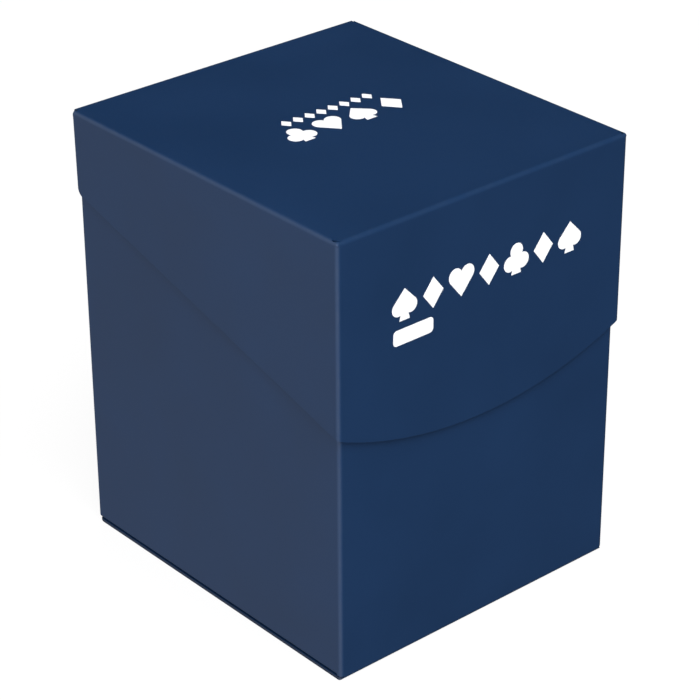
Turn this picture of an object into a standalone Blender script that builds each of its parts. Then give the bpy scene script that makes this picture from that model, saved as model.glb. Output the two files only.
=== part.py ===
"""Card deck box with a flip-top lid, folded from one die-cut polypropylene sheet, with a loose card divider.

The origin is the middle of the footprint on the table: X runs across the front, the front faces -Y, +Z is up.
The sheet is divided at its creases, so that each panel, flap and tab is a closed solid of its own.
"""

import math

import bmesh
import bpy
from mathutils import Matrix, Vector

MM = 0.001

# The sheet and its creases
SHEET = 0.65 * MM
GAP = 0.26 * MM  # air between faces that lie on each other, and between two panels at a crease
FOLD = 0.9 * MM  # outer radius of a crease
LIP = 0.3 * MM  # flat stretch that a panel keeps past its fold
FOLD_STEPS = 4
LAYER = SHEET + GAP  # from one layer of sheet to the next
FOLD_END = FOLD + LIP
SEAM = FOLD_END + GAP  # from an outer corner to where the next panel starts

# The closed box
BODY_WIDTH = 75.25 * MM
BODY_DEPTH = 83.0 * MM
HEIGHT = 99.0 * MM
FRONT = -(BODY_DEPTH - LAYER) / 2  # outer face of the body's front, one layer behind the lid's flap
BACK = (BODY_DEPTH + LAYER) / 2
SIDE = BODY_WIDTH / 2
LID_FRONT = FRONT - LAYER
LID_SIDE = SIDE + LAYER

# The body's panels
FRONT_TOP = HEIGHT - SHEET - 2 * GAP
SIDE_TOP = 89.0 * MM
NOTCH_WIDTH = 24.0 * MM
NOTCH_DEPTH = 10.0 * MM
NOTCH_RADIUS = 5.0 * MM
DUST_FLAP_REACH = 30.0 * MM
DUST_FLAP_INSET = 2.0 * MM
DUST_FLAP_TAPER = 5.0 * MM
BACK_TAB_REACH = 14.0 * MM
BACK_TAB_LOW = 3.0 * MM
BACK_TAB_HIGH = 87.0 * MM
BACK_TAB_TAPER = 5.0 * MM
BACK_SIDE = SIDE - LAYER  # the back panel stands between the side panels
SIDE_BACK = BACK - LAYER  # the side panels' back edges, where the back panel's folds begin
BACK_PANEL_TOP = HEIGHT - SEAM

# The lid
FLAP_LOW = 48.7 * MM  # lowest point of the flap's curved edge
FLAP_EDGE_RADIUS = 96.6 * MM
FLAP_EDGE_STEPS = 256
WING_LOW_FRONT = 56.8 * MM
WING_LOW_BACK = 80.4 * MM
WING_BACK = BACK - 1.08 * MM
WING_TOP_BACK = BACK - 0.75 * MM
WING_CORNER = 2.0 * MM
LID_PANEL_TOP = HEIGHT - SEAM
LID_TAB_DROP = 8.5 * MM
LID_TAB_TAPER = 3.0 * MM
LID_TAB_FRONT = FRONT + 2.5 * MM
LID_TAB_BACK = BACK - 3.0 * MM

# The living hinge
HINGE_WEB = 0.35 * MM  # the crease is thinned to this
HINGE_FOLD = 0.45 * MM  # and so folds tighter than the others
HINGE_Y = BACK + GAP / 2  # just outside the crease, so that the lid can fold flat against the back wall
HINGE_Z = HEIGHT + GAP / 2

# The card divider
DIVIDER_SHEET = 0.5 * MM
DIVIDER_WIDTH = 70.0 * MM
DIVIDER_LOW = 2 * LAYER
DIVIDER_SHOULDER = 91.5 * MM
DIVIDER_TOP = 96.5 * MM
DIVIDER_TAB_WIDTH = 30.0 * MM
DIVIDER_CORNER = 2.5 * MM
DIVIDER_Y = BACK - 1.75 * MM

CORNER = 2.0 * MM  # a die-cut corner
CORNER_STEPS = 6
MARGIN = 2.0 * MM  # how far a cutter stands out of what it cuts
TRIM_ROOM = 0.03 * MM  # and how far from a face that it leaves whole

BLUE = (0.0116, 0.0368, 0.0999)
FROSTED = (0.62, 0.66, 0.68)
UPRIGHT_ALONG_Y = (math.pi / 2, 0, math.pi / 2)
UPRIGHT_ALONG_X = (math.pi / 2, 0, 0)


def clear_scene():
    """Removes whatever the file opened with."""
    for thing in list(bpy.data.objects):
        bpy.data.objects.remove(thing)


def new_collection(name):
    """Adds a collection to the scene."""
    collection = bpy.data.collections.new(name)
    bpy.context.scene.collection.children.link(collection)
    return collection


def plastic(name, colour, roughness):
    """Makes a satin plastic material."""
    material = bpy.data.materials.new(name)
    material.use_nodes = True
    shader = material.node_tree.nodes["Principled BSDF"]
    shader.inputs["Base Color"].default_value = (*colour, 1)
    shader.inputs["Roughness"].default_value = roughness
    shader.inputs["Metallic"].default_value = 0
    return material


def add(name, data, colour=BLUE, roughness=0.45):
    """Adds a sub-part with its own material to the box's collection."""
    part = bpy.data.objects.new(name, data)
    data.materials.append(plastic(name + "_plastic", colour, roughness))
    parts.objects.link(part)
    return part


def add_cutter(name, shape):
    """Turns a bmesh into a hidden cutter."""
    mesh = bpy.data.meshes.new(name)
    shape.to_mesh(mesh)
    shape.free()
    cutter = bpy.data.objects.new(name, mesh)
    cutter.hide_render = True
    cutter.display_type = "WIRE"
    cutters.objects.link(cutter)
    return cutter


def rounded(corners, steps):
    """Returns the outline through the corners (u, v, radius), with an arc at each corner that has a radius."""
    outline = []
    for before, corner, after in zip(corners[-1:] + corners[:-1], corners, corners[1:] + corners[:1]):
        here, radius = Vector(corner[:2]), corner[2]
        if radius == 0:
            outline.append(here)
            continue
        backwards = (Vector(before[:2]) - here).normalized()
        onwards = (Vector(after[:2]) - here).normalized()
        half = backwards.angle(onwards) / 2
        centre = here + (backwards + onwards).normalized() * radius / math.sin(half)
        spoke = here + backwards * radius / math.tan(half) - centre
        sweep = math.copysign(math.pi - 2 * half, -backwards.cross(onwards))
        outline += [centre + Matrix.Rotation(sweep * step / steps, 2) @ spoke for step in range(steps + 1)]
    return outline


def flat_sheet(name, corners, thickness=SHEET):
    """Makes a flat die-cut panel from its outline, centred on its own plane."""
    outline = rounded(corners, CORNER_STEPS)
    curve = bpy.data.curves.new(name, "CURVE")
    curve.dimensions = "2D"
    curve.fill_mode = "BOTH"
    curve.extrude = thickness / 2
    spline = curve.splines.new("POLY")
    spline.points.add(len(outline) - 1)
    spline.use_cyclic_u = True
    for point, place in zip(spline.points, outline):
        point.co = (*place, 0, 1)
    return curve


def thicken(part, thickness=SHEET):
    """Gives an open surface its wall, inwards from the outer face."""
    wall = part.modifiers.new("Sheet", "SOLIDIFY")
    wall.thickness = thickness
    wall.offset = -1
    wall.use_even_offset = True


def folded_sheet(name, corners, axis, low, high, thickness=SHEET):
    """Makes a panel with its folds: the outer profile, rounded at its folds, drawn out along one axis."""
    shape = bmesh.new()
    start = []
    for place in rounded(corners, FOLD_STEPS):
        point = list(place)
        point.insert(axis, low)
        start.append(shape.verts.new(point))
    edges = [shape.edges.new(pair) for pair in zip(start, start[1:])]
    drawn = bmesh.ops.extrude_edge_only(shape, edges=edges)["geom"]
    length = [0, 0, 0]
    length[axis] = high - low
    bmesh.ops.translate(shape, verts=[v for v in drawn if isinstance(v, bmesh.types.BMVert)], vec=length)
    bmesh.ops.recalc_face_normals(shape, faces=shape.faces)
    part = add(name, smooth_mesh(name, shape))
    thicken(part, thickness)
    return part


def smooth_mesh(name, shape):
    """Turns a bmesh into a mesh that is smooth over its folds."""
    mesh = bpy.data.meshes.new(name)
    shape.to_mesh(mesh)
    shape.free()
    mesh.shade_smooth()
    mesh.set_sharp_from_angle(angle=math.radians(40))
    return mesh


def block(low, high):
    """Returns a bmesh box between two corners."""
    low, high = Vector(low), Vector(high)
    shape = bmesh.new()
    place = Matrix.Translation((low + high) / 2) @ Matrix.Diagonal((*(high - low), 1))
    bmesh.ops.create_cube(shape, size=1, matrix=place)
    return shape


def round_edges(shape, radius, steps, chosen):
    """Rounds the edges that the test picks by their direction and middle."""
    edges = []
    for edge in shape.edges:
        first, second = (v.co for v in edge.verts)
        if chosen((second - first).normalized(), (first + second) / 2):
            edges.append(edge)
    bmesh.ops.bevel(shape, geom=edges, offset=radius, segments=steps, profile=0.5, affect="EDGES")


def cut(part, cutter, operation="DIFFERENCE"):
    """Cuts a part with a cutter."""
    boolean = part.modifiers.new(cutter.name, "BOOLEAN")
    boolean.operation = operation
    boolean.object = cutter


def place_on_side(part, side, inset):
    """Stands a flat sheet beside the body, its outer face a given depth inside the body's side face."""
    part.rotation_euler = UPRIGHT_ALONG_Y
    part.location.x = side * (SIDE - inset - SHEET / 2)


def make_front_panel():
    """Front wall, with its vertical folds to the side walls and a thumb notch in its top edge."""
    corners = [
        (-SIDE, FRONT + FOLD_END, 0),
        (-SIDE, FRONT, FOLD),
        (SIDE, FRONT, FOLD),
        (SIDE, FRONT + FOLD_END, 0),
    ]
    panel = folded_sheet("front_panel", corners, 2, SEAM, FRONT_TOP)
    low = (-NOTCH_WIDTH / 2, FRONT - MARGIN, FRONT_TOP - NOTCH_DEPTH)
    high = (NOTCH_WIDTH / 2, FRONT + MARGIN, FRONT_TOP + NOTCH_DEPTH)
    notch = block(low, high)
    round_edges(notch, NOTCH_RADIUS, CORNER_STEPS, lambda along, middle: abs(along.y) > 0.5)
    cut(panel, add_cutter("thumb_notch_cutter", notch))


def make_side_panel(name, side):
    """Side wall, with the fold along its foot that leads to the dust flap."""
    corners = [
        (side * SIDE, SIDE_TOP, 0),
        (side * SIDE, LAYER, FOLD),
        (side * (SIDE - FOLD_END), LAYER, 0),
    ]
    folded_sheet(name, corners, 1, FRONT + SEAM, SIDE_BACK)


def make_dust_flap(name, side):
    """Flap of a side wall that lies on the bottom."""
    root = side * (SIDE - SEAM)
    tip = side * (SIDE - DUST_FLAP_REACH)
    corners = [
        (root, FRONT + DUST_FLAP_INSET, 0),
        (tip, FRONT + DUST_FLAP_INSET + DUST_FLAP_TAPER, CORNER),
        (tip, BACK - DUST_FLAP_INSET - DUST_FLAP_TAPER, CORNER),
        (root, BACK - DUST_FLAP_INSET, 0),
    ]
    flap = add(name, flat_sheet(name, corners))
    flap.location.z = LAYER + SHEET / 2


def make_back_panel():
    """Back wall, with its vertical folds to the tabs that are glued inside the side walls."""
    corners = [
        (BACK_SIDE, BACK - FOLD_END, 0),
        (BACK_SIDE, BACK, FOLD),
        (-BACK_SIDE, BACK, FOLD),
        (-BACK_SIDE, BACK - FOLD_END, 0),
    ]
    folded_sheet("back_panel", corners, 2, SEAM, BACK_PANEL_TOP)


def make_back_glue_tab(name, side):
    """Tab of the back wall, glued inside a side wall."""
    root = BACK - SEAM
    tip = root - BACK_TAB_REACH
    corners = [
        (tip, BACK_TAB_LOW + BACK_TAB_TAPER, CORNER),
        (root, BACK_TAB_LOW, 0),
        (root, BACK_TAB_HIGH, 0),
        (tip, BACK_TAB_HIGH - BACK_TAB_TAPER, CORNER),
    ]
    tab = add(name, flat_sheet(name, corners))
    place_on_side(tab, side, LAYER)


def make_bottom_panel():
    """Bottom, with its folds up into the front and back walls; its side edges are die-cut."""
    corners = [
        (FRONT, FOLD_END, 0),
        (FRONT, 0, FOLD),
        (BACK, 0, FOLD),
        (BACK, FOLD_END, 0),
    ]
    panel = folded_sheet("bottom_panel", corners, 0, -SIDE - MARGIN, SIDE + MARGIN)
    trim = block((-SIDE, FRONT - TRIM_ROOM, -MARGIN), (SIDE, BACK + TRIM_ROOM, SEAM + MARGIN))
    round_edges(trim, FOLD, FOLD_STEPS, lambda along, middle: abs(along.z) > 0.5)
    cut(panel, add_cutter("bottom_outline_cutter", trim), "INTERSECT")


def make_hinge():
    """Living hinge: the thinned crease between the back wall and the lid's top."""
    corners = [
        (BACK, HEIGHT - FOLD_END, 0),
        (BACK, HEIGHT, HINGE_FOLD),
        (BACK - FOLD_END, HEIGHT, 0),
    ]
    folded_sheet("lid_hinge", corners, 0, -SIDE, SIDE, HINGE_WEB)


def make_lid_top():
    """Top of the lid, with its folds down to the front flap and the sides."""
    shape = block((-LID_SIDE, LID_FRONT, HEIGHT - FOLD_END), (LID_SIDE, BACK - SEAM, HEIGHT))
    open_low, open_back = HEIGHT - FOLD, BACK - 2 * SEAM
    round_edges(shape, FOLD, FOLD_STEPS, lambda along, middle: middle.z > open_low and middle.y < open_back)
    open_faces = [f for f in shape.faces if f.normal.z < -0.9 or f.normal.y > 0.9]
    bmesh.ops.delete(shape, geom=open_faces, context="FACES")
    thicken(add("lid_top_panel", smooth_mesh("lid_top_panel", shape)))


def make_lid_flap():
    """Front flap of the lid, with its vertical folds to the wings and a curved lower edge."""
    corners = [
        (-LID_SIDE, LID_FRONT + FOLD_END, 0),
        (-LID_SIDE, LID_FRONT, FOLD),
        (LID_SIDE, LID_FRONT, FOLD),
        (LID_SIDE, LID_FRONT + FOLD_END, 0),
    ]
    flap = folded_sheet("lid_front_flap", corners, 2, FLAP_LOW - MARGIN, LID_PANEL_TOP)
    disc = bmesh.new()
    centre = (0, LID_FRONT, FLAP_LOW + FLAP_EDGE_RADIUS)
    bmesh.ops.create_cone(
        disc,
        cap_ends=True,
        segments=FLAP_EDGE_STEPS,
        radius1=FLAP_EDGE_RADIUS,
        radius2=FLAP_EDGE_RADIUS,
        depth=4 * MARGIN,
        matrix=Matrix.Translation(centre) @ Matrix.Rotation(math.pi / 2, 4, "X"),
    )
    cut(flap, add_cutter("flap_edge_cutter", disc), "INTERSECT")


def make_wing(name, side):
    """Side wing of the lid, with its slanted lower edge."""
    slope = (WING_LOW_BACK - WING_LOW_FRONT) / (WING_BACK - FRONT)
    root = LID_FRONT + SEAM
    corners = [
        (root, WING_LOW_FRONT + slope * (root - FRONT), 0),
        (WING_BACK, WING_LOW_BACK, WING_CORNER),
        (WING_TOP_BACK, LID_PANEL_TOP, 0),
        (root, LID_PANEL_TOP, 0),
    ]
    wing = add(name, flat_sheet(name, corners))
    place_on_side(wing, side, -LAYER)


def make_lid_glue_tab(name, side):
    """Tab of the lid's top, glued inside a wing above the side wall."""
    high = HEIGHT - LAYER
    low = high - LID_TAB_DROP
    corners = [
        (LID_TAB_FRONT + LID_TAB_TAPER, low, CORNER),
        (LID_TAB_BACK - LID_TAB_TAPER, low, CORNER),
        (LID_TAB_BACK, high, 0),
        (LID_TAB_FRONT, high, 0),
    ]
    tab = add(name, flat_sheet(name, corners))
    place_on_side(tab, side, 0)


def make_divider():
    """Card divider with a raised tab."""
    half, tab_half = DIVIDER_WIDTH / 2, DIVIDER_TAB_WIDTH / 2
    corners = [
        (-half, DIVIDER_LOW, DIVIDER_CORNER),
        (half, DIVIDER_LOW, DIVIDER_CORNER),
        (half, DIVIDER_SHOULDER, DIVIDER_CORNER),
        (tab_half, DIVIDER_SHOULDER, 0),
        (tab_half, DIVIDER_TOP, CORNER),
        (-tab_half, DIVIDER_TOP, CORNER),
        (-tab_half, DIVIDER_SHOULDER, 0),
        (-half, DIVIDER_SHOULDER, DIVIDER_CORNER),
    ]
    divider = add("card_divider", flat_sheet("card_divider", corners, DIVIDER_SHEET), FROSTED, 0.5)
    divider.rotation_euler = UPRIGHT_ALONG_X
    divider.location.y = DIVIDER_Y


def hang_lid():
    """Parents the lid's pieces to an empty on the hinge's axis."""
    pivot = bpy.data.objects.new("lid_pivot", None)
    pivot.location = (0, HINGE_Y, HINGE_Z)
    parts.objects.link(pivot)
    for piece in parts.objects:
        if piece.name.startswith("lid_") and piece.name not in ("lid_pivot", "lid_hinge"):
            piece.parent = pivot
            piece.matrix_parent_inverse = Matrix.Translation(pivot.location).inverted()


clear_scene()
parts = new_collection("card_deck_box")
cutters = new_collection("cutters")
make_front_panel()
make_back_panel()
make_bottom_panel()
make_hinge()
make_lid_top()
make_lid_flap()
for hand, way in (("left", -1), ("right", 1)):
    make_side_panel(f"{hand}_side_panel", way)
    make_dust_flap(f"{hand}_dust_flap", way)
    make_back_glue_tab(f"back_{hand}_glue_tab", way)
    make_wing(f"lid_{hand}_wing", way)
    make_lid_glue_tab(f"lid_{hand}_glue_tab", way)
make_divider()
hang_lid()
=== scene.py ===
import math

import bmesh
import bpy
import numpy as np
from mathutils import Matrix, Vector


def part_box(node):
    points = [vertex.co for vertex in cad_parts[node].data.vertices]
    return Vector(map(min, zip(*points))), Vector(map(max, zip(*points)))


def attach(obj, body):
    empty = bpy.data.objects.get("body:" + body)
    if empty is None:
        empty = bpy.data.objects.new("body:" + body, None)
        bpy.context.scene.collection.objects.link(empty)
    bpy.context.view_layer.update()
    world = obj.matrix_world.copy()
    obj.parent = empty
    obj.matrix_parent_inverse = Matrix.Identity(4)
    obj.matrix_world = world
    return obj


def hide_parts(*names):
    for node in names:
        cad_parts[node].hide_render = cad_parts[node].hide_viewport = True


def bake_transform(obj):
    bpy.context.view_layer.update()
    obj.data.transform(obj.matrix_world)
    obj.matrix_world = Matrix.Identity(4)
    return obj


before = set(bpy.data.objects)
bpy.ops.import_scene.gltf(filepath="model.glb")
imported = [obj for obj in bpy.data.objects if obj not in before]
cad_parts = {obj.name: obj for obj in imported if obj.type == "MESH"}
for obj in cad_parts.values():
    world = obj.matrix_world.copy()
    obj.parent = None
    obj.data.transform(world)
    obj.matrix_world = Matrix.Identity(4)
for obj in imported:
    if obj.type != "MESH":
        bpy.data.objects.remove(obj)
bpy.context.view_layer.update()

# Card deck box: the finished sheet, its folds, the white print and the studio.
# A sheet point is worked out from the outer face; "depth" always runs inwards through the sheet.

MM = 0.001


def low(node):
    """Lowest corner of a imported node."""
    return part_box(node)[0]


def high(node):
    """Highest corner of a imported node."""
    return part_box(node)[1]


# Planes of the closed box, from the frame
HEIGHT = high("lid_top_panel").z
LID_FRONT = low("lid_top_panel").y
LID_SIDE = high("lid_top_panel").x
FRONT = low("front_panel").y
BACK = high("back_panel").y
SIDE = high("front_panel").x
BACK_SIDE = high("back_panel").x
HINGE_SIDE = high("lid_hinge").x
FRONT_TOP = high("front_panel").z
SIDE_TOP = high("left_side_panel").z
SIDE_BACK = high("left_side_panel").y
LAYER = LID_SIDE - SIDE
SHEET = high("lid_left_wing").x - low("lid_left_wing").x
GAP = LAYER - SHEET
FOLD_END = HEIGHT - low("lid_top_panel").z

# The sheet
FOLD = 0.9 * MM  # outer radius of a crease
RIM = 0.1 * MM  # rounding of a die-cut edge
INK = 0.02 * MM  # how far the lid's faces lie under their print
FOLD_STEPS = 12
SUPPORT = 0.2 * MM  # a flat face is held flat this close to its folds
RIM_TURNS = np.radians([0, 30, 60, 90])
CORNER = 2.0 * MM  # rounding of a flap's or tab's free corners
SHARP = math.radians(13)
SAME_PLACE = 0.0002 * MM  # points closer than this are one point
TINY = 1e-9
PARALLEL = 1e-4  # sine of the turn under which two sides count as one straight edge
CUT_EDGE_MARK = -1.0  # a mark above 0 is a crease, polished and lightened partly as stress whitening and partly as a painted highlight, and below 0 a raw cut edge, darkened as painted shade
# Crease mark: its lighter colour is partly stress whitening and partly a painted highlight along the folds
FOLD_WHITENING_AND_HIGHLIGHT = 0.8
CORNER_SWELL = 0.12  # a lid corner stands out this much further than a ball would
TONGUE_TURN = math.radians(10)  # a side fold of the top past this turn runs on as a tongue behind
# Lines that hold the lid's top flat beside its folds, measured from the fold
NEAR_FOLD = np.array([0.08, 0.2, 0.35, 0.55, 0.8, 1.1, 1.45, 1.9]) * MM

# Cuts
NOTCH_WIDTH = 24.0 * MM
NOTCH_DEPTH = 10.0 * MM
NOTCH_RADIUS = 5.0 * MM
NOTCH_LEAD = 1.0 * MM  # rounding where the notch meets the panel's top edge
NOTCH_SHELF = 0.1  # share of the points round the notch that lie on the top edge, on either side of it
FLAP_EDGE_RADIUS = 96.6 * MM
WING_LOW_BACK = 80.4 * MM
WING_LEAN = 0.33 * MM  # how far the foot of a lid side's back edge lies in front of its top
TAB_TAPER = 5.0 * MM
LID_TAB_TAPER = 3.0 * MM
HINGE_WEB = 0.35 * MM  # the crease is thinned to this
HINGE_FOLD = 0.45 * MM  # and so folds tighter than the others
FOOT_FOLD = 0.7 * MM  # the side walls' feet fold tighter too
BACK_CORNER = 2.2 * MM  # rounding of the bottom's back corners
SIDE_CORNER = 0.7 * MM  # how far a side wall's back edge draws forward at its foot
DIVIDER_SHOULDER = 91.5 * MM
DIVIDER_TAB_WIDTH = 30.0 * MM
DIVIDER_CORNER = 2.5 * MM

# Reliefs in the lid's top
CRESCENT_INSET = np.array([1.4, 1.5]) * MM  # its middle, in from the lid's side and from its front
CRESCENT_RADIUS = 1.01 * MM
CRESCENT_TIP = 0.08 * MM  # its width at the tips
CRESCENT_SWELL = 0.52 * MM  # how much wider it grows between them
CRESCENT_LEAN = 0.7  # below 1, its widest place lies nearer to its first tip
CRESCENT_OUTSIDE = 0.1  # share of its width that lies outside its radius
CRESCENT_START = -45  # degrees
CRESCENT_SWEEP = 140  # degrees
NICK_HALF = np.array([0.2, 0.28]) * MM
CUTTER_TOP = HEIGHT + 1.0 * MM
CUTTER_FOOT = HEIGHT - 1.6 * MM

# Print: heights are above the floor on the flap, and behind the middle on the top
FILM = 1.5 * INK  # thickness, of which a third is sunk in the sheet
FILM_RIM = 0.2 * INK
PIP_TALL = 6.8 * MM
END_SHARE = 0.85  # an end pip's middle lies half this share of its height in from the row's end
FLAP_ROW = ("spade", "diamond", "heart", "diamond", "club", "diamond", "spade")
FLAP_ROW_LEFT = -24.6 * MM
FLAP_ROW_RIGHT = 25.7 * MM
FLAP_ROW_HEIGHT = 80.85 * MM
TAG_WIDTH = 10.4 * MM
TAG_TALL = 3.4 * MM
TAG_RADIUS = 0.9 * MM
TAG_HEIGHT = 74.0 * MM
TOP_ROW = ("club", "heart", "spade", "diamond")
TOP_CENTRE = 0.85 * MM
TOP_PITCH = 8.2 * MM
TOP_HEIGHT = 1.0 * MM
SMALL_ROW = ("diamond",) * 8
SMALL_TALL = 3.2 * MM
SMALL_PITCH = 3.1 * MM
SMALL_HEIGHT = 7.0 * MM

# Camera and studio
CAMERA_PLACE = Vector((-318.5, -369.4, 308.93)) * MM
CAMERA_TURN = math.radians(-40.83)
CAMERA_DROP = math.radians(28.31)
CAMERA_ROLL = math.radians(-0.285)
LENS = 134.09
SENSOR = 36.0
NEAREST = 0.01  # nearest distance that the camera sees
FLOOR_HALF = 30.0
FLOOR_TINTS = ((0.10, 0.10, 0.10), (0.105, 0.105, 0.105))
FLOOR_GLOW = 0.895  # the floor's own light, which makes it as white as the room
ROOM_WHITE = (1.0, 1.0, 1.0)
ROOM_FILL = (0.35, 0.35, 0.35)
WALL_LIGHT = 1.36  # brightness of the wall on the left in gloss
WALL_FADED = 0.3  # what is left of it low down behind the box
FLOOR_LIGHT = 0.05  # brightness of the floor in gloss

# Colours and finishes
BLUE = (0.0066, 0.0262, 0.0765)
# Lighter blue of the creases: partly stress whitening, partly a painted highlight
WHITENED_AND_HIGHLIGHT_BLUE = (0.0165, 0.0370, 0.0830)
# Darker blue of the cut edges and relief walls: painted shade
CUT_EDGE_SHADE_BLUE = (0.0030, 0.0120, 0.0360)
FROSTED = (0.60, 0.65, 0.68)
CUT_FROSTED = (0.82, 0.86, 0.88)
WHITE = (0.86, 0.87, 0.88)
MOST = (0.3, 0.7)  # the range that holds most of a noise's values
WAVE = 14.0  # height of the sheet's slow waves against its grain


# Sheets

def bend_path(corners, runs, radius=FOLD):
    """Path through the corners in one plane: straight runs joined by quarter arcs of the crease's radius.
    Outwards is a quarter turn clockwise from the way along. Returns points, outward normals, the way
    along and the bend, which is 0 on a straight run and sin(2 x turn) on an arc, so 1 in its middle."""
    corners = np.array(corners, float)
    ways = np.diff(corners, axis=0)
    lengths = np.linalg.norm(ways, axis=1)
    ways /= lengths[:, None]
    outwards = np.stack([ways[:, 1], -ways[:, 0]], 1)
    points, normals, bends = [], [], []
    last = len(ways) - 1
    for run, (start, way, out, length) in enumerate(zip(corners, ways, outwards, lengths)):
        begin = radius if run > 0 else 0
        stop = length - (radius if run < last else 0)
        hold = min(SUPPORT, (stop - begin) / 2)
        even = np.linspace(begin, stop, runs[run] + 1)
        marks = np.concatenate([[begin + hold, stop - hold], even])
        marks = np.unique(np.round(marks, 9))
        points.append(start + marks[:, None] * way)
        normals.append(np.repeat(out[None], len(marks), 0))
        bends.append(np.zeros(len(marks)))
        if run < last:
            turn = np.linspace(0, math.pi / 2, FOLD_STEPS + 1)[1:-1, None]
            normal = out * np.cos(turn) + outwards[run + 1] * np.sin(turn)
            centre = corners[run + 1] - radius * (out + outwards[run + 1])
            points.append(centre + radius * normal)
            normals.append(normal)
            bends.append(np.sin(2 * turn[:, 0]))
    points, normals = np.concatenate(points), np.concatenate(normals)
    return points, normals, np.stack([-normals[:, 1], normals[:, 0]], 1), np.concatenate(bends)


def edge_line(value, stations):
    """A sheet's long edge as (shift along the path, height) at each station, from heights or from both."""
    line = np.zeros((stations, 2))
    value = np.asarray(value, float)
    if value.ndim == 2:
        line[:] = value
    else:
        line[:, 1] = value
    return line


def inward_of(line, along, sense):
    """Unit normals of a long edge in the unrolled sheet, turned a quarter from its own direction."""
    place = np.stack([along + line[:, 0], line[:, 1]], 1)
    way = np.gradient(place, axis=0)
    way /= np.linalg.norm(way, axis=1)[:, None]
    return sense * np.stack([-way[:, 1], way[:, 0]], 1)


def section(rim_low, rim_high, rows):
    """Closed section of a sheet, up its outer face and down its inner face, as four columns: depth as a
    share of the sheet, share of the way from the low to the high edge, inset from that edge, and the cut
    mark, which marks the rounding of a cut edge and darkens the blue sheet there as painted shade."""
    arc_in = RIM * (1 - np.sin(RIM_TURNS))
    arc_deep = RIM * (1 - np.cos(RIM_TURNS)) / SHEET
    arc_cut_mark = np.where(RIM_TURNS > 0, CUT_EDGE_MARK, 0)
    across = np.linspace(0, 1, rows + 1)[1:-1]

    def rim(at, rounded):
        if not rounded:
            return np.array([[0, at, 0, 0], [1, at, 0, 0]], float)
        near = np.stack([arc_deep, np.full(4, at), arc_in, arc_cut_mark], 1)
        far = np.stack([1 - arc_deep, np.full(4, at), arc_in, arc_cut_mark], 1)[::-1]
        return np.concatenate([near, far])

    face = np.stack([0 * across, across, 0 * across, 0 * across], 1)
    inner = face[::-1] + [1, 0, 0, 0]
    return np.concatenate([face, rim(1, rim_high), inner, rim(0, rim_low)[::-1]])


def bent_sheet(name, path, axis, low_edge, high_edge, rims=(True, True), ends=(False, False), rows=2,
               sheet=SHEET):
    """A sheet along a bent path, drawn out along an axis. Its outer face is path + axis x height, with the
    height running from the low to the high edge; its inner face lies one sheet inwards along the path's
    normals. Die-cut edges are rounded by carrying a quarter circle along them; edges that lead on into the
    next panel are left square. Rims are the low and high edges, and ends are the path's two ends."""
    points, normals, ways, bends = path
    count = len(points)
    steps = np.linalg.norm(np.diff(points, axis=0), axis=1)
    along = np.concatenate([[0], np.cumsum(steps)])
    lower, upper = edge_line(low_edge, count), edge_line(high_edge, count)
    into_low = inward_of(lower, along, 1)
    into_high = inward_of(upper, along, -1)
    thickness = np.broadcast_to(np.asarray(sheet, float), (count,))
    rim_in = RIM * (1 - np.sin(RIM_TURNS[:0:-1]))
    rim_deep = RIM * (1 - np.cos(RIM_TURNS[:0:-1]))
    first, last = (len(rim_in) if cut else 0 for cut in ends)
    slide = np.zeros(count)
    slide[0] = RIM if ends[0] else 0
    slide[-1] = -RIM if ends[1] else 0
    order = np.pad(np.arange(count), (first, last), "edge")
    slide = np.concatenate([rim_in[:first], slide, -rim_in[::-1][:last]])
    thin = np.concatenate([rim_deep[:first], np.zeros(count), rim_deep[::-1][:last]])
    # Creases get a mark that lightens them (part stress whitening, part painted highlight); cut ends get the
    # cut mark, darkened as painted shade
    crease_and_cut_values = np.pad(bends * FOLD_WHITENING_AND_HIGHLIGHT, (first, last), constant_values=CUT_EDGE_MARK)
    depth, share, inset, rim_cut_mark = section(*rims, rows).T
    lower, upper, into_low, into_high = lower[order], upper[order], into_low[order], into_high[order]
    into = np.where(share[None, :, None] < 0.5, into_low[:, None], into_high[:, None])
    flat = lower[:, None] * (1 - share)[None, :, None] + upper[:, None] * share[None, :, None]
    flat = flat + into * inset[None, :, None]
    deep = thin[:, None] + depth * (thickness[order, None] - 2 * thin[:, None])
    along_path = flat[..., 0] + slide[:, None]
    plane = points[order, None] + ways[order, None] * along_path[..., None]
    plane = plane - normals[order, None] * deep[..., None]
    u, v, h = plane[..., 0], plane[..., 1], flat[..., 1]
    loops = np.stack({0: (h, u, v), 1: (v, h, u), 2: (u, v, h)}[axis], -1)
    crease_and_cut_mark = np.where(rim_cut_mark[None] < 0, rim_cut_mark[None], crease_and_cut_values[:, None])
    return make_piece(name, [loops], [crease_and_cut_mark])


def outline(corners, steps=8):
    """Closed outline through (u, v, radius, cut) corners, with an arc at each that has a radius. Cut says
    that the side after the corner is a die-cut edge; the others lead on into the next panel. It is
    returned anticlockwise."""
    points, cuts = [], []
    for before, corner, after in zip(corners[-1:] + corners[:-1], corners, corners[1:] + corners[:1]):
        here, radius = Vector(corner[:2]), corner[2]
        if radius == 0:
            points.append(here[:])
            cuts.append(corner[3])
            continue
        back = (Vector(before[:2]) - here).normalized()
        onward = (Vector(after[:2]) - here).normalized()
        half = back.angle(onward) / 2
        centre = here + (back + onward).normalized() * radius / math.sin(half)
        spoke = here + back * radius / math.tan(half) - centre
        sweep = math.copysign(math.pi - 2 * half, -back.cross(onward))
        turns = [Matrix.Rotation(sweep * step / steps, 2) @ spoke for step in range(steps + 1)]
        points += [(centre + turn)[:] for turn in turns]
        cuts += [True] * steps + [corner[3]]
    points, cuts = np.array(points), np.array(cuts)
    following = np.roll(points, -1, 0)
    area = np.sum(points[:, 0] * following[:, 1] - points[:, 1] * following[:, 0])
    if area < 0:
        points, cuts = points[::-1], np.roll(cuts[::-1], -1)
    return points, cuts


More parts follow.
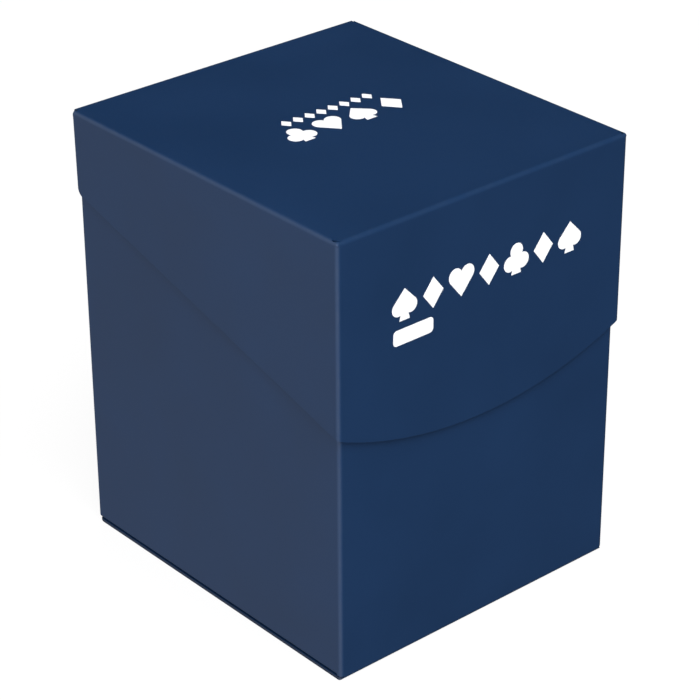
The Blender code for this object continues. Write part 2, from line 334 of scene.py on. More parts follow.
def miters(points, cuts):
    """Where an outline's points go for a unit inset: each lies on both of its sides moved inwards by one
    unit, or by nothing where the side isn't a cut edge."""
    side = np.roll(points, -1, 0) - points
    side /= np.linalg.norm(side, axis=1)[:, None]
    inward = np.stack([-side[:, 1], side[:, 0]], 1)
    first, second = np.roll(inward, 1, 0), inward
    want_first, want_second = np.roll(cuts, 1).astype(float), cuts.astype(float)
    det = first[:, 0] * second[:, 1] - first[:, 1] * second[:, 0]
    straight = np.abs(det) < PARALLEL
    safe = np.where(straight, 1, det)
    u = (want_first * second[:, 1] - want_second * first[:, 1]) / safe
    v = (first[:, 0] * want_second - second[:, 0] * want_first) / safe
    level = second * want_second[:, None]
    return np.where(straight[:, None], level, np.stack([u, v], 1))


def die_cut(points, cuts, origin, right, up, thickness=SHEET, rim=RIM):
    """Loops and cut marks of a flat sheet: its outline carried through the thickness, with a quarter circle
    at each face. Origin lies on the outer face, right and up span it as seen from outside. The cut mark lies
    on the cut edges between the two faces, and darkens the blue sheet there as painted shade."""
    origin, right, up = (np.array(v, float) for v in (origin, right, up))
    inwards = np.cross(up, right)
    inset = rim * (1 - np.sin(RIM_TURNS))
    deep = rim * (1 - np.cos(RIM_TURNS))
    inset = np.concatenate([inset, inset[::-1]])
    deep = np.concatenate([deep, thickness - deep[::-1]])
    place = points[None] + miters(points, cuts)[None] * inset[:, None, None]
    loops = origin + place[..., :1] * right + place[..., 1:] * up + deep[:, None, None] * inwards
    rim_cut_mark = np.where((inset < rim) & (deep > 0), CUT_EDGE_MARK, 0)
    return loops, rim_cut_mark[:, None] * (cuts | np.roll(cuts, 1))[None]


def make_piece(name, solids, crease_and_cut_marks):
    """One mesh of closed solids. Each solid is an array of loops, stations x points, whose neighbouring
    loops are joined by quads and whose first and last loops are closed by a face. The crease and cut marks,
    which lighten creases (part stress whitening, part painted highlight) and darken cut edges as painted
    shade, are kept as an attribute."""
    places, faces, start = [], [], 0
    for loops in solids:
        stations, points, _ = loops.shape
        index = start + np.arange(stations * points).reshape(stations, points)
        here, there = index[:-1], index[1:]
        quads = np.stack([here, there, np.roll(there, -1, 1), np.roll(here, -1, 1)], -1)
        faces += quads.reshape(-1, 4).tolist() + [index[0].tolist(), index[-1, ::-1].tolist()]
        places.append(loops.reshape(-1, 3))
        start += stations * points
    mesh = bpy.data.meshes.new(name)
    mesh.from_pydata(np.concatenate(places), [], faces)
    crease_and_cut_values = mesh.attributes.new("crease_and_cut_mark", "FLOAT", "POINT")
    values = np.concatenate([crease_and_cut_mark.reshape(-1) for crease_and_cut_mark in crease_and_cut_marks])
    crease_and_cut_values.data.foreach_set("value", values.astype(np.float32))
    piece = bpy.data.objects.new(name, mesh)
    bpy.context.scene.collection.objects.link(piece)
    join_doubles(mesh)
    return piece


def join_doubles(mesh):
    """Merges points that fall together, and shades what is left."""
    shape = bmesh.new()
    shape.from_mesh(mesh)
    bmesh.ops.remove_doubles(shape, verts=shape.verts, dist=SAME_PLACE)
    shape.to_mesh(mesh)
    shape.free()
    keep_cuts_sharp(mesh)


def keep_cuts_sharp(mesh):
    """Shades a mesh smooth over its folds and sharp at its cut edges."""
    mesh.shade_smooth()
    mesh.set_sharp_from_angle(angle=SHARP)


def finish_piece(piece, body, material, slot_name, *nodes):
    """Gives a piece its finish, attaches it to its body when one is given, and hides the nodes that it
    stands for. The slot name is not used. The hinge is given no body, and the print stands for no node."""
    piece.data.materials.append(material)
    if body:
        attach(piece, body)
    if nodes:
        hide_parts(*nodes)
    return piece


def side_sheet(name, side, corners, outer, body, node):
    """A flat panel that stands on a side of the box, from its (y, z) outline, for either side."""
    turned = [(side * y, z, radius, cut) for y, z, radius, cut in corners]
    points, cuts = outline(turned)
    loops, crease_and_cut_mark = die_cut(points, cuts, (side * outer, 0, 0), (0, side, 0), (0, 0, 1))
    finish_piece(make_piece(name, [loops], [crease_and_cut_mark]), body, blue, "blue_sheet", node)


# Pieces of the case

def make_front():
    """Front wall with its two vertical folds. The top edge follows a shelf, a quarter circle down, the
    notch's side, a quarter circle in and the notch's floor, and the same mirrored."""
    half, radius, lead = NOTCH_WIDTH / 2, NOTCH_RADIUS, NOTCH_LEAD
    corners = [(-SIDE, FRONT + FOLD_END), (-SIDE, FRONT), (SIDE, FRONT), (SIDE, FRONT + FOLD_END)]
    path = bend_path(corners, (1, 96, 1))
    x = path[0][:, 0]
    count = len(x)
    quarter = np.linspace(0, math.pi / 2, FOLD_STEPS + 1)
    floor_z = FRONT_TOP - NOTCH_DEPTH
    lead_in = np.stack([-half - lead + lead * np.sin(quarter), FRONT_TOP - lead + lead * np.cos(quarter)], 1)
    bottom_x = -half + radius - radius * np.cos(quarter)
    bottom = np.stack([bottom_x, floor_z + radius - radius * np.sin(quarter)], 1)
    cut = np.concatenate([lead_in, bottom, (bottom * [-1, 1])[::-1], (lead_in * [-1, 1])[::-1]])
    run = np.concatenate([[0], np.cumsum(np.linalg.norm(np.diff(cut, axis=0), axis=1))])
    reach = half + 2 * radius
    inside = np.abs(x) < reach
    share = (x[inside] + reach) / (2 * reach)
    stops = [0, NOTCH_SHELF, 1 - NOTCH_SHELF, 1]
    spread = np.interp(share, stops, [0, 0, 1, 1]) * run[-1]
    edge = np.stack([np.zeros(count), np.full(count, FRONT_TOP)], 1)
    over = (share > stops[1]) & (share < stops[2])
    places = np.stack([np.interp(spread, run, cut[:, 0]), np.interp(spread, run, cut[:, 1])], 1)
    shelf = np.interp(share, stops, [-reach, -half - lead, half + lead, reach])
    places[:, 0] = np.where(over, places[:, 0], shelf)
    edge[inside, 0] = places[:, 0] - x[inside]
    edge[inside, 1] = places[:, 1]
    foot = np.where(np.abs(x) > SIDE - FOLD, LAYER + GAP / 4, FOLD_END)
    panel = bent_sheet("case_front", path, 2, foot, edge, (False, True), rows=4)
    finish_piece(panel, "case", blue, "blue_sheet", "front_panel")


def make_back():
    """Back wall with its vertical folds to the glued tabs."""
    fold_end = BACK - FOLD_END
    corners = [(BACK_SIDE, fold_end), (BACK_SIDE, BACK), (-BACK_SIDE, BACK), (-BACK_SIDE, fold_end)]
    path = bend_path(corners, (1, 8, 1))
    panel = bent_sheet("case_back", path, 2, FOLD_END, HEIGHT - FOLD_END, (False, False), rows=4)
    finish_piece(panel, "case", blue, "blue_sheet", "back_panel")


def make_bottom():
    """Bottom with its folds up into the front and back. Its half width is the side's, less a quarter circle
    at the front corners and a larger one at the back corners."""
    corners = [(FRONT, FOLD_END), (FRONT, 0), (BACK, 0), (BACK, FOLD_END)]
    path = bend_path(corners, (1, 240, 1))
    y = path[0][:, 0]
    nose = np.clip(FOLD - y + FRONT, 0, FOLD)
    tail = np.clip(BACK_CORNER - BACK + y, 0, BACK_CORNER)
    in_front = FOLD - np.sqrt(FOLD**2 - nose**2)
    behind = BACK_CORNER - np.sqrt(BACK_CORNER**2 - tail**2)
    half = SIDE - in_front - behind
    panel = bent_sheet("case_bottom", path, 0, -half, half, (True, True), rows=8)
    finish_piece(panel, "case", blue, "blue_sheet", "bottom_panel")


def make_side(hand, side):
    """Side wall with the fold along its foot. Its back edge runs straight down, and draws forward in the
    fold by 1 - sqrt(1 - drop^2), a quarter of an ellipse."""
    corners = [(SIDE_TOP, side * SIDE), (LAYER, side * SIDE), (LAYER, side * (SIDE - FOLD_END))]
    if side < 0:
        corners = corners[::-1]
    path = bend_path(corners, (8, 1) if side > 0 else (1, 8), FOOT_FOLD)
    drop = np.clip((LAYER + FOOT_FOLD - path[0][:, 0]) / FOOT_FOLD, 0, 1)
    back = SIDE_BACK - SIDE_CORNER * (1 - np.sqrt(1 - drop**2))
    ends = (True, False) if side > 0 else (False, True)
    panel = bent_sheet(f"case_{hand}_side", path, 1, FRONT + FOLD_END, back, (False, True), ends, rows=8)
    finish_piece(panel, "case", blue, "blue_sheet", f"{hand}_side_panel")


def make_dust_flap(hand, side):
    """Flap that lies on the bottom: a flat outline with rounded outer corners."""
    node = f"{hand}_dust_flap"
    floor, front, back = low(node).z, low(node).y, high(node).y
    tip = min(abs(low(node).x), abs(high(node).x))
    root = SIDE - FOLD_END
    corners = [
        (side * root, front, 0, True),
        (side * tip, front + TAB_TAPER, CORNER, True),
        (side * tip, back - TAB_TAPER, CORNER, True),
        (side * root, back, 0, False),
    ]
    points, cuts = outline(corners)
    loops, crease_and_cut_mark = die_cut(points, cuts, (0, 0, floor + SHEET), (1, 0, 0), (0, 1, 0))
    finish_piece(make_piece(f"case_{hand}_dust_flap", [loops], [crease_and_cut_mark]), "case", blue, "blue_sheet", node)


def make_back_tab(hand, side):
    """Tab of the back wall, glued inside the side wall."""
    node = f"back_{hand}_glue_tab"
    bottom, top, tip = low(node).z, high(node).z, low(node).y
    corners = [
        (tip, bottom + TAB_TAPER, CORNER, True),
        (BACK - FOLD_END, bottom, 0, False),
        (BACK - FOLD_END, top, 0, True),
        (tip, top - TAB_TAPER, CORNER, True),
    ]
    side_sheet(f"case_{hand}_glue_tab", side, corners, BACK_SIDE, "case", node)


# Pieces of the lid

def make_hinge():
    """Living hinge: a tight quarter arc of sheet, thinned from inside by a groove whose depth grows evenly
    from both panels' ends to the arc."""
    corners = [(BACK, HEIGHT - FOLD_END), (BACK, HEIGHT - INK), (BACK - FOLD_END, HEIGHT - INK)]
    path = bend_path(corners, (6, 6), HINGE_FOLD)
    from_ends = np.minimum(path[0][:, 1] - HEIGHT + FOLD_END, FOLD_END - BACK + path[0][:, 0])
    groove = np.clip(from_ends / (FOLD_END - HINGE_FOLD - INK), 0, 1)
    web = SHEET - (SHEET - HINGE_WEB) * groove
    hinge = bent_sheet("living_hinge", path, 0, -HINGE_SIDE, HINGE_SIDE, (True, True), rows=16, sheet=web)
    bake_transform(hinge)
    finish_piece(hinge, None, blue, "blue_sheet", "lid_hinge")


def make_top():
    """Top of the lid, folded down at the front and both sides. With the side turn a and the front turn b,
    the normal is (sin a, -sin b, cos a cos b) made unit, and swelled by sin 2a sin 2b where both folds
    meet. The outer face is the core corner + crease radius x normal, and the inner face stops one sheet
    short. Past the turns, short lips drop straight down. Behind, the side folds run on past the hinge as
    short tongues."""
    quarter = np.linspace(math.pi / 2, 0, FOLD_STEPS + 1)
    top = HEIGHT - INK
    lip = FOLD_END - INK - FOLD
    side_core, front_core = LID_SIDE - FOLD, LID_FRONT + INK + FOLD
    back = BACK - FOLD_END
    between = np.linspace(-side_core, side_core, 9)[1:-1]
    flat_x = np.concatenate([NEAR_FOLD - side_core, between, side_core - NEAR_FOLD[::-1]])
    a = np.concatenate([[-math.pi / 2], -quarter, 0 * flat_x, quarter[::-1], [math.pi / 2]])
    in_fold = np.ones(FOLD_STEPS + 2)
    core_x = np.concatenate([-side_core * in_fold, flat_x, side_core * in_fold])
    drop_a = np.zeros(len(a))
    drop_a[[0, -1]] = lip
    between = np.linspace(front_core, back - SUPPORT, 9)[1:]
    flat_y = np.concatenate([front_core + NEAR_FOLD, between, [back]])
    b = np.concatenate([[math.pi / 2], quarter, 0 * flat_y])
    core_y = np.concatenate([front_core * in_fold, flat_y])
    drop_b = np.zeros(len(b))
    drop_b[0] = lip
    up = np.cos(a)[:, None] * np.cos(b)[None]
    normal = np.stack(np.broadcast_arrays(np.sin(a)[:, None], -np.sin(b)[None], up), -1)
    normal = normal / np.linalg.norm(normal, axis=-1)[..., None]
    swell = 1 + CORNER_SWELL * np.abs(np.sin(2 * a)[:, None] * np.sin(2 * b)[None])
    normal = np.clip(normal * swell[..., None], -1, 1)
    core = np.stack(np.broadcast_arrays(core_x[:, None], core_y[None], top - FOLD), -1)
    core[:, -1, 1] += np.where(np.abs(a) > TONGUE_TURN, high("lid_left_wing").y - back, 0)
    core = core - np.maximum(drop_a[:, None], drop_b[None])[..., None] * [0, 0, 1]
    outer = core + FOLD * normal
    inner = core + (FOLD - SHEET) * normal
    loops = np.concatenate([outer, inner[:, ::-1]], 1)
    # Creases are lightened, partly as stress whitening and partly as a painted highlight
    bend = np.maximum(np.abs(np.sin(2 * a))[:, None], np.abs(np.sin(2 * b))[None]) * FOLD_WHITENING_AND_HIGHLIGHT
    panel = make_piece("lid_top", [loops], [np.concatenate([bend, bend[:, ::-1]], 1)])
    cut_reliefs(panel)
    keep_cuts_sharp(panel.data)
    finish_piece(panel, "lid", blue, "blue_sheet", "lid_top_panel")


def cut_reliefs(panel):
    """Die-cut reliefs where the creases meet: a crescent at each front corner of the lid's top, and a round
    nick beside each end of the hinge."""
    turn = np.linspace(0, 1, 17)
    sweep = np.radians(CRESCENT_START + CRESCENT_SWEEP * turn)
    width = CRESCENT_TIP + CRESCENT_SWELL * np.sin(math.pi * turn**CRESCENT_LEAN)[:, None]
    outside = CRESCENT_RADIUS + CRESCENT_OUTSIDE * width
    around = np.linspace(0, 2 * math.pi, 24, endpoint=False)
    nick = np.stack([np.cos(around), np.sin(around)], 1) * NICK_HALF
    for side in (-1, 1):
        way = np.stack([side * np.cos(sweep), -np.sin(sweep)], 1)
        crescent = np.concatenate([way * outside, (way * (outside - width))[::-1]])
        middle = [side * (LID_SIDE - CRESCENT_INSET[0]), LID_FRONT + CRESCENT_INSET[1]]
        cut_through(panel, crescent + middle)
        cut_through(panel, nick + [side * (HINGE_SIDE + NICK_HALF[0]), BACK - FOLD_END])


def cut_through(panel, ring):
    """Cuts an upright hole of the given outline through the lid's top."""
    points = ring[::-1] if np.cross(ring[0] - ring[1], ring[2] - ring[1]) > 0 else ring
    heights = np.array([CUTTER_TOP, CUTTER_FOOT])[:, None, None]
    loops = np.concatenate([np.repeat(points[None], 2, 0), np.repeat(heights, len(ring), 1)], 2)
    # The cutter's cut mark carries over to the relief walls, which are darkened as painted shade
    cutter = make_piece("relief_cutter", [loops], [np.full(loops.shape[:2], CUT_EDGE_MARK)])
    shape = bmesh.new()
    shape.from_mesh(cutter.data)
    bmesh.ops.recalc_face_normals(shape, faces=shape.faces)
    shape.to_mesh(cutter.data)
    shape.free()
    boolean = panel.modifiers.new("relief", "BOOLEAN")
    boolean.object = cutter
    depsgraph = bpy.context.evaluated_depsgraph_get()
    cut_mesh = bpy.data.meshes.new_from_object(panel.evaluated_get(depsgraph))
    panel.modifiers.clear()
    panel.data = cut_mesh
    bpy.data.objects.remove(cutter)


def make_flap():
    """Front flap of the lid with its two vertical folds. Its low edge is the circle
    z = low + R - sqrt(R^2 - x^2) across the front, and climbs evenly round each fold to the wing's edge."""
    face, fold_end = LID_FRONT + INK, LID_FRONT + FOLD_END
    corners = [(-LID_SIDE, fold_end), (-LID_SIDE, face), (LID_SIDE, face), (LID_SIDE, fold_end)]
    path = bend_path(corners, (1, 72, 1))
    points = path[0]
    along = np.concatenate([[0], np.cumsum(np.linalg.norm(np.diff(points, axis=0), axis=1))])
    flat_end = LID_SIDE - FOLD
    x = np.clip(points[:, 0], -flat_end, flat_end)
    edge = low("lid_front_flap").z + FLAP_EDGE_RADIUS - np.sqrt(FLAP_EDGE_RADIUS**2 - x**2)
    fold_run = along[np.searchsorted(points[:, 0], -flat_end + TINY)]
    beyond = np.clip(np.maximum(fold_run - along, along - (along[-1] - fold_run)) / fold_run, 0, 1)
    edge += beyond * (wing_edge(fold_end) - edge)
    flap = bent_sheet("lid_flap", path, 2, edge, HEIGHT - FOLD_END, (True, False), rows=6)
    finish_piece(flap, "lid", blue, "blue_sheet", "lid_front_flap")


def wing_edge(y):
    """Height of a wing's slanted edge at a depth: a straight line through its front and back ends."""
    front, back = low("lid_left_wing"), high("lid_left_wing")
    slope = (WING_LOW_BACK - front.z) / (back.y - WING_LEAN - front.y)
    return front.z + slope * (y - front.y)


def make_wing(hand, side):
    """Side of the lid: a flat outline with a slanted low edge, a rounded back corner and a back edge that
    leans out a little towards the top."""
    node = f"lid_{hand}_wing"
    root, back, top = LID_FRONT + FOLD_END, high(node).y, HEIGHT - FOLD_END
    corners = [
        (root, wing_edge(root), 0, True),
        (back - WING_LEAN, wing_edge(back - WING_LEAN), CORNER, True),
        (back, top, 0, False),
        (root, top, 0, False),
    ]
    side_sheet(f"lid_{hand}_side", side, corners, LID_SIDE, "lid", node)


def make_lid_tab(hand, side):
    """Tab of the lid's top, glued inside the lid's side."""
    node = f"lid_{hand}_glue_tab"
    front, back, bottom, top = low(node).y, high(node).y, low(node).z, high(node).z
    corners = [
        (front + LID_TAB_TAPER, bottom, CORNER, True),
        (back - LID_TAB_TAPER, bottom, CORNER, True),
        (back, top, 0, True),
        (front, top, 0, True),
    ]
    side_sheet(f"lid_{hand}_tab", side, corners, SIDE, "lid", node)


def make_divider():
    """Card divider: a flat outline with a raised tab."""
    lowest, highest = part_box("card_divider")
    half, tab = highest.x, DIVIDER_TAB_WIDTH / 2
    corners = [
        (-half, lowest.z, DIVIDER_CORNER, True),
        (half, lowest.z, DIVIDER_CORNER, True),
        (half, DIVIDER_SHOULDER, DIVIDER_CORNER, True),
        (tab, DIVIDER_SHOULDER, 0, True),
        (tab, highest.z, CORNER, True),
        (-tab, highest.z, CORNER, True),
        (-tab, DIVIDER_SHOULDER, 0, True),
        (-half, DIVIDER_SHOULDER, DIVIDER_CORNER, True),
    ]
    points, cuts = outline(corners)
    thickness = highest.y - lowest.y
    loops, crease_and_cut_mark = die_cut(points, cuts, (0, lowest.y, 0), (1, 0, 0), (0, 0, 1), thickness)
    divider = make_piece("divider_sheet", [loops], [crease_and_cut_mark])
    finish_piece(divider, "divider", frosted, "frosted_sheet", "card_divider")


# Print

RAYS = np.linspace(0, 2 * math.pi, 240, endpoint=False)
RAY_WAYS = np.stack([np.cos(RAYS), np.sin(RAYS)], 1)


def to_disc(u, v, radius):
    """Length of each ray from the middle to the far side of a disc, or 0 where it misses."""
    along = RAY_WAYS @ np.array([u, v])
    inside = radius**2 - u**2 - v**2 + along**2
    return np.where(inside > 0, along + np.sqrt(np.maximum(inside, 0)), 0)


def to_polygon(corners):
    """Length of each ray from the middle to the edge of a convex polygon that holds the middle."""
    corners = np.array(corners, float)
    side = np.roll(corners, -1, 0) - corners
    out = np.stack([side[:, 1], -side[:, 0]], 1)
    facing = RAY_WAYS @ out.T
    reach = np.sum(out * corners, 1) / np.where(facing > TINY, facing, 1)
    return np.min(np.where(facing > TINY, reach, np.inf), 1)


def heart(lobe, radius, point):
    """A heart, or upside down the head of a spade: two discs at the lobes' height, and a wedge whose sides
    run from the point and touch the discs."""
    middle, crown = 0.235, 0.2
    sense = math.copysign(1, -point)
    aim = np.array([middle, lobe - point])
    run = math.sqrt(aim @ aim - radius**2)
    touch = (run**2 * aim + run * radius * sense * np.array([aim[1], -aim[0]])) / (aim @ aim)
    shoulder, top = point + touch[1], lobe + 0.38 * radius * sense
    wedge = [(0, point), (touch[0], shoulder), (crown, top), (-crown, top), (-touch[0], shoulder)]
    lobes = np.maximum(to_disc(-middle, lobe, radius), to_disc(middle, lobe, radius))
    return np.maximum(lobes, to_polygon([(sense * u, v) for u, v in wedge]))


def pip(kind):
    """Outline of a plain card pip, one unit high, as the farthest of its simple shapes on each ray."""
    stem = to_polygon([(-0.2, -0.5), (0.2, -0.5), (0.03, 0.1), (-0.03, 0.1)])
    if kind == "diamond":
        reach = to_polygon([(0, -0.5), (0.39, 0), (0, 0.5), (-0.39, 0)])
    elif kind == "heart":
        reach = heart(0.2, 0.26, -0.5)
    elif kind == "spade":
        reach = np.maximum(heart(-0.09, 0.24, 0.5), stem)
    else:
        discs = [to_disc(0, 0.24, 0.25), to_disc(-0.25, -0.12, 0.25), to_disc(0.25, -0.12, 0.25)]
        reach = np.maximum(np.max(discs, 0), stem)
    return RAY_WAYS * reach[:, None]


def bar(width, height, radius):
    """Outline of a bar with rounded ends, about its middle."""
    u, v = width / 2, height / 2
    return outline([(a, b, radius, True) for a, b in ((-u, -v), (u, -v), (u, v), (-u, v))])[0]


def pip_row(kinds, tall, centre, pitch, height):
    """Pips side by side about a centre, as (outline, u, v) each."""
    across = centre + (np.arange(len(kinds)) - (len(kinds) - 1) / 2) * pitch
    return [(pip(kind) * tall, u, height) for kind, u in zip(kinds, across)]


def print_row(name, shapes, origin, right, up):
    """Thin film of ink: every (outline, u, v) stands at its place on one face of the lid."""
    solids = []
    for points, u, v in shapes:
        cuts = np.ones(len(points), bool)
        solids.append(die_cut(points + [u, v], cuts, origin, right, up, FILM, FILM_RIM))
    film = make_piece(name, [loops for loops, _ in solids], [crease_and_cut_mark for _, crease_and_cut_mark in solids])
    finish_piece(film, "lid", white_ink, None)


def make_front_print():
    """Plain band across the flap: a row of card pips, and a short bar under its left end."""
    pitch = (FLAP_ROW_RIGHT - FLAP_ROW_LEFT - END_SHARE * PIP_TALL) / (len(FLAP_ROW) - 1)
    centre = (FLAP_ROW_LEFT + FLAP_ROW_RIGHT) / 2
    shapes = pip_row(FLAP_ROW, PIP_TALL, centre, pitch, FLAP_ROW_HEIGHT)
    shapes.append((bar(TAG_WIDTH, TAG_TALL, TAG_RADIUS), FLAP_ROW_LEFT + TAG_WIDTH / 2, TAG_HEIGHT))
    print_row("lid_front_print", shapes, (0, LID_FRONT, 0), (1, 0, 0), (0, 0, 1))


def make_top_print():
    """Plain emblem on the top: a row of card pips with a row of small diamonds behind it."""
    shapes = pip_row(TOP_ROW, PIP_TALL, TOP_CENTRE, TOP_PITCH, TOP_HEIGHT)
    shapes += pip_row(SMALL_ROW, SMALL_TALL, TOP_CENTRE, SMALL_PITCH, SMALL_HEIGHT)
    print_row("lid_top_print", shapes, (0, 0, HEIGHT), (1, 0, 0), (0, 1, 0))


# Finishes

class Nodes:
    """Short way to add shader nodes and join them."""

    def __init__(self, tree):
        self.tree = tree

    def noise(self, place, scale, detail, roughness=0.5):
        """Fractal noise on the object's own coordinates; the scale is in waves per metre."""
        node = self.tree.nodes.new("ShaderNodeTexNoise")
        node.inputs["Scale"].default_value = scale
        node.inputs["Detail"].default_value = detail
        node.inputs["Roughness"].default_value = roughness
        self.join(place, node.inputs["Vector"])
        return node.outputs["Fac"]

    def spread(self, value, source, target):
        """Maps a value from one range to another, held inside it."""
        node = self.tree.nodes.new("ShaderNodeMapRange")
        for name, number in zip(("From Min", "From Max", "To Min", "To Max"), source + target):
            node.inputs[name].default_value = number
        self.join(value, node.inputs["Value"])
        return node.outputs["Result"]

    def mix(self, share, first, second):
        """Mixes two colours."""
        node = self.tree.nodes.new("ShaderNodeMix")
        node.data_type = "RGBA"
        self.join(share, node.inputs["Factor"])
        for source, socket in ((first, node.inputs["A"]), (second, node.inputs["B"])):
            if isinstance(source, tuple):
                socket.default_value = (*source, 1)
            else:
                self.join(source, socket)
        return node.outputs["Result"]

    def combine(self, first, second, operation="ADD"):
        """Adds or multiplies two values."""
        node = self.tree.nodes.new("ShaderNodeMath")
        node.operation = operation
        for source, socket in ((first, node.inputs[0]), (second, node.inputs[1])):
            if isinstance(source, float):
                socket.default_value = source
            else:
                self.join(source, socket)
        return node.outputs["Value"]

    def relief(self, shader, height, strength, depth):
        """Fine relief of the surface, of a real depth in metres."""
        bump = self.tree.nodes.new("ShaderNodeBump")
        bump.inputs["Strength"].default_value = strength
        bump.inputs["Distance"].default_value = depth
        self.join(height, bump.inputs["Height"])
        self.join(bump.outputs["Normal"], shader.inputs["Normal"])

    def join(self, output, socket):
        """Links an output to an input."""
        self.tree.links.new(output, socket)


def new_material(name):
    """A material with its shader, node helper and object coordinates."""
    material = bpy.data.materials.new(name)
    material.use_nodes = True
    shader = material.node_tree.nodes["Principled BSDF"]
    nodes = Nodes(material.node_tree)
    place = material.node_tree.nodes.new("ShaderNodeTexCoord").outputs["Object"]
    return material, shader, nodes, place


def shade(colour, share):
    """A colour made darker or lighter by a share."""
    return tuple(share * part for part in colour)


def crease_and_cut_shares(nodes, place):
    """How far the plastic is creased and how far it is a raw cut edge, from the crease and cut marks kept on
    the mesh. Noise breaks up the creases."""
    crease_and_cut_mark = nodes.tree.nodes.new("ShaderNodeAttribute")
    crease_and_cut_mark.attribute_name = "crease_and_cut_mark"
    broken = nodes.spread(nodes.noise(place, scale=420, detail=3), (0.35, 0.65), (0.35, 1.0))
    creased = nodes.combine(nodes.spread(crease_and_cut_mark.outputs["Fac"], (0, 1), (0, 0.6)), broken, "MULTIPLY")
    return creased, nodes.spread(crease_and_cut_mark.outputs["Fac"], (0, CUT_EDGE_MARK), (0, 1))


def make_blue():
    """Satin polypropylene: a fine matt grain, faint flow clouds in colour and gloss, polished creases
    lightened partly as stress whitening and partly as a painted highlight, and cut edges darkened as painted
    shade."""
    material, shader, nodes, place = new_material("satin_blue_sheet")
    cloud = nodes.noise(place, scale=38, detail=4, roughness=0.6)
    tone = nodes.mix(nodes.spread(cloud, MOST, (0, 1)), shade(BLUE, 0.94), shade(BLUE, 1.06))
    creased, cut = crease_and_cut_shares(nodes, place)
    # Creases go towards a lighter blue (part stress whitening, part painted highlight), cut edges towards a
    # darker blue as painted shade
    colour = nodes.mix(cut, nodes.mix(creased, tone, WHITENED_AND_HIGHLIGHT_BLUE), CUT_EDGE_SHADE_BLUE)
    nodes.join(colour, shader.inputs["Base Color"])
    grain = nodes.noise(place, scale=5200, detail=2)
    cloudy = nodes.spread(cloud, MOST, (0.40, 0.46))
    rough = nodes.combine(cloudy, nodes.spread(grain, MOST, (-0.02, 0.02)))
    rough = nodes.combine(rough, nodes.spread(creased, (0, 1), (0, -0.12)))
    nodes.join(rough, shader.inputs["Roughness"])
    shader.inputs["Specular IOR Level"].default_value = 0.5
    wave = nodes.combine(nodes.noise(place, scale=26, detail=1), WAVE, "MULTIPLY")
    nodes.relief(shader, nodes.combine(grain, wave), strength=0.35, depth=0.012 * MM)
    return material


def make_frosted():
    """Frosted clear polypropylene: cloudy body, fine grain, brighter cut edges."""
    material, shader, nodes, place = new_material("frosted_divider_sheet")
    cloud = nodes.noise(place, scale=60, detail=4, roughness=0.6)
    tone = nodes.mix(nodes.spread(cloud, MOST, (0, 1)), shade(FROSTED, 0.93), FROSTED)
    _, cut = crease_and_cut_shares(nodes, place)
    nodes.join(nodes.mix(cut, tone, CUT_FROSTED), shader.inputs["Base Color"])
    nodes.join(nodes.spread(cloud, MOST, (0.42, 0.55)), shader.inputs["Roughness"])
    shader.inputs["Transmission Weight"].default_value = 0.35
    shader.inputs["IOR"].default_value = 1.49
    nodes.relief(shader, nodes.noise(place, scale=4200, detail=2), strength=0.4, depth=0.01 * MM)
    return material


def make_white_ink():
    """Screen-printed white: even, slightly thin in places, with a soft matt tooth."""
    material, shader, nodes, place = new_material("white_screen_ink")
    thin = nodes.spread(nodes.noise(place, scale=900, detail=3), (0.25, 0.75), (0, 1))
    nodes.join(nodes.mix(thin, shade(WHITE, 0.97), WHITE), shader.inputs["Base Color"])
    rough = nodes.spread(nodes.noise(place, scale=2600, detail=2), MOST, (0.5, 0.62))
    nodes.join(rough, shader.inputs["Roughness"])
    nodes.relief(shader, nodes.noise(place, scale=3600, detail=2), strength=0.3, depth=0.008 * MM)
    return material


# Studio

def make_floor():
    """Pale floor, as white as the room, that takes only the object's faint shadow."""
    mesh = bpy.data.meshes.new("floor")
    corners = [(a * FLOOR_HALF, b * FLOOR_HALF, 0) for a, b in ((-1, -1), (1, -1), (1, 1), (-1, 1))]
    mesh.from_pydata(corners, [], [(0, 1, 2, 3)])
    floor = bpy.data.objects.new("floor", mesh)
    bpy.context.scene.collection.objects.link(floor)
    material, shader, nodes, place = new_material("pale_floor")
    tint = nodes.mix(nodes.noise(place, scale=4, detail=2), *FLOOR_TINTS)
    nodes.join(tint, shader.inputs["Base Color"])
    shader.inputs["Roughness"].default_value = 1.0
    shader.inputs["Specular IOR Level"].default_value = 0.0
    shader.inputs["Emission Color"].default_value = (1, 1, 1, 1)
    shader.inputs["Emission Strength"].default_value = FLOOR_GLOW
    mesh.materials.append(material)
    floor.visible_diffuse = False
    floor.visible_glossy = False


def soft_light(name, way, distance, size, energy):
    """Square softbox that faces the box from the given direction and doesn't show in its gloss."""
    data = bpy.data.lights.new(name, "AREA")
    data.shape = "SQUARE"
    data.size = size
    data.energy = energy
    light = bpy.data.objects.new(name, data)
    way = Vector(way).normalized()
    light.location = way * distance + Vector((0, 0, HEIGHT / 2))
    light.rotation_euler = way.to_track_quat("Z", "Y").to_euler()
    light.visible_glossy = False
    bpy.context.scene.collection.objects.link(light)


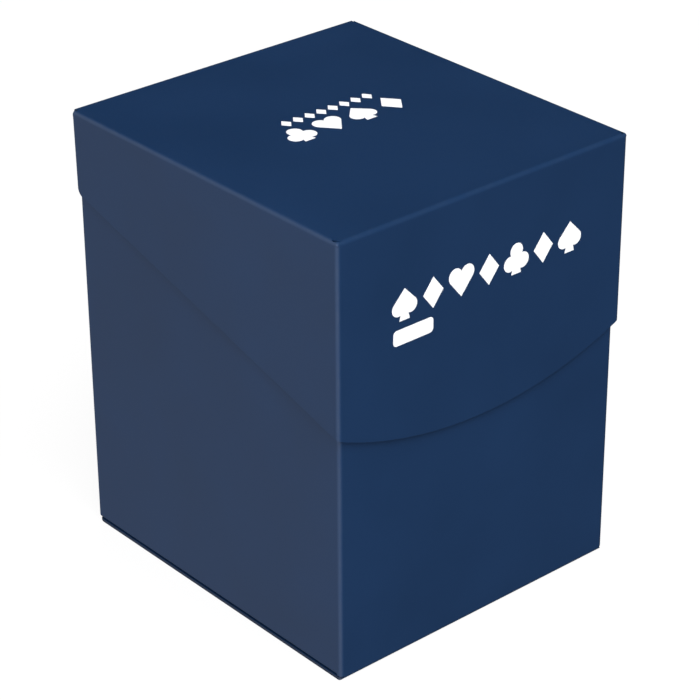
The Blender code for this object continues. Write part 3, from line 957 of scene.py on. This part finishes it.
def make_world():
    """White room for the camera and an even fill for matt light. For gloss, a soft white wall on the left,
    which fades low down behind the box, and a faint glow from the floor."""
    world = bpy.data.worlds.new("studio")
    world.use_nodes = True
    tree = world.node_tree
    nodes = Nodes(tree)
    way = tree.nodes.new("ShaderNodeTexCoord").outputs["Generated"]
    split = tree.nodes.new("ShaderNodeSeparateXYZ")
    nodes.join(way, split.inputs["Vector"])
    lean = tree.nodes.new("ShaderNodeVectorMath")
    lean.operation = "DOT_PRODUCT"
    lean.inputs[1].default_value = (0, 0.7, -0.7)
    nodes.join(way, lean.inputs[0])
    fade = nodes.spread(lean.outputs["Value"], (-0.1, 0.8), (1.0, WALL_FADED))
    leftward = nodes.spread(split.outputs["X"], (-0.72, 0.0), (WALL_LIGHT, 0.0))
    wall = nodes.combine(leftward, fade, "MULTIPLY")
    wall = nodes.combine(wall, nodes.spread(split.outputs["Z"], (-0.4, 0.1), (FLOOR_LIGHT, 0.0)))
    rays = tree.nodes.new("ShaderNodeLightPath")
    lit = nodes.mix(rays.outputs["Is Glossy Ray"], ROOM_FILL, wall)
    shown = nodes.mix(rays.outputs["Is Camera Ray"], lit, ROOM_WHITE)
    nodes.join(shown, tree.nodes["Background"].inputs["Color"])
    bpy.context.scene.world = world


def make_camera():
    """Camera over the box's front left corner, looking down along a level turn, a drop and a slight roll."""
    data = bpy.data.cameras.new("camera")
    data.lens = LENS
    data.sensor_width = SENSOR
    data.clip_start = NEAREST
    camera = bpy.data.objects.new("camera", data)
    level = Matrix.Rotation(CAMERA_TURN, 4, "Z")
    drop = Matrix.Rotation(math.pi / 2 - CAMERA_DROP, 4, "X")
    roll = Matrix.Rotation(CAMERA_ROLL, 4, "Z")
    camera.matrix_world = Matrix.Translation(CAMERA_PLACE) @ (level @ drop) @ roll
    bpy.context.scene.collection.objects.link(camera)
    bpy.context.scene.camera = camera


make_camera()
blue = make_blue()
frosted = make_frosted()
white_ink = make_white_ink()
make_front()
make_back()
make_bottom()
make_hinge()
make_top()
make_flap()
for hand, side in (("left", -1), ("right", 1)):
    make_side(hand, side)
    make_dust_flap(hand, side)
    make_back_tab(hand, side)
    make_wing(hand, side)
    make_lid_tab(hand, side)
make_divider()
make_front_print()
make_top_print()
make_floor()
make_world()
soft_light("overhead_light", way=(-0.15, -0.5, 0.85), distance=1.6, size=1.0, energy=25.4)
soft_light("front_light", way=(-0.66, -0.71, 0.25), distance=1.6, size=0.8, energy=20)
soft_light("back_light", way=(0.8, 0.75, 0.3), distance=1.8, size=1.2, energy=14)
bpy.context.scene.view_settings.view_transform = "Standard"
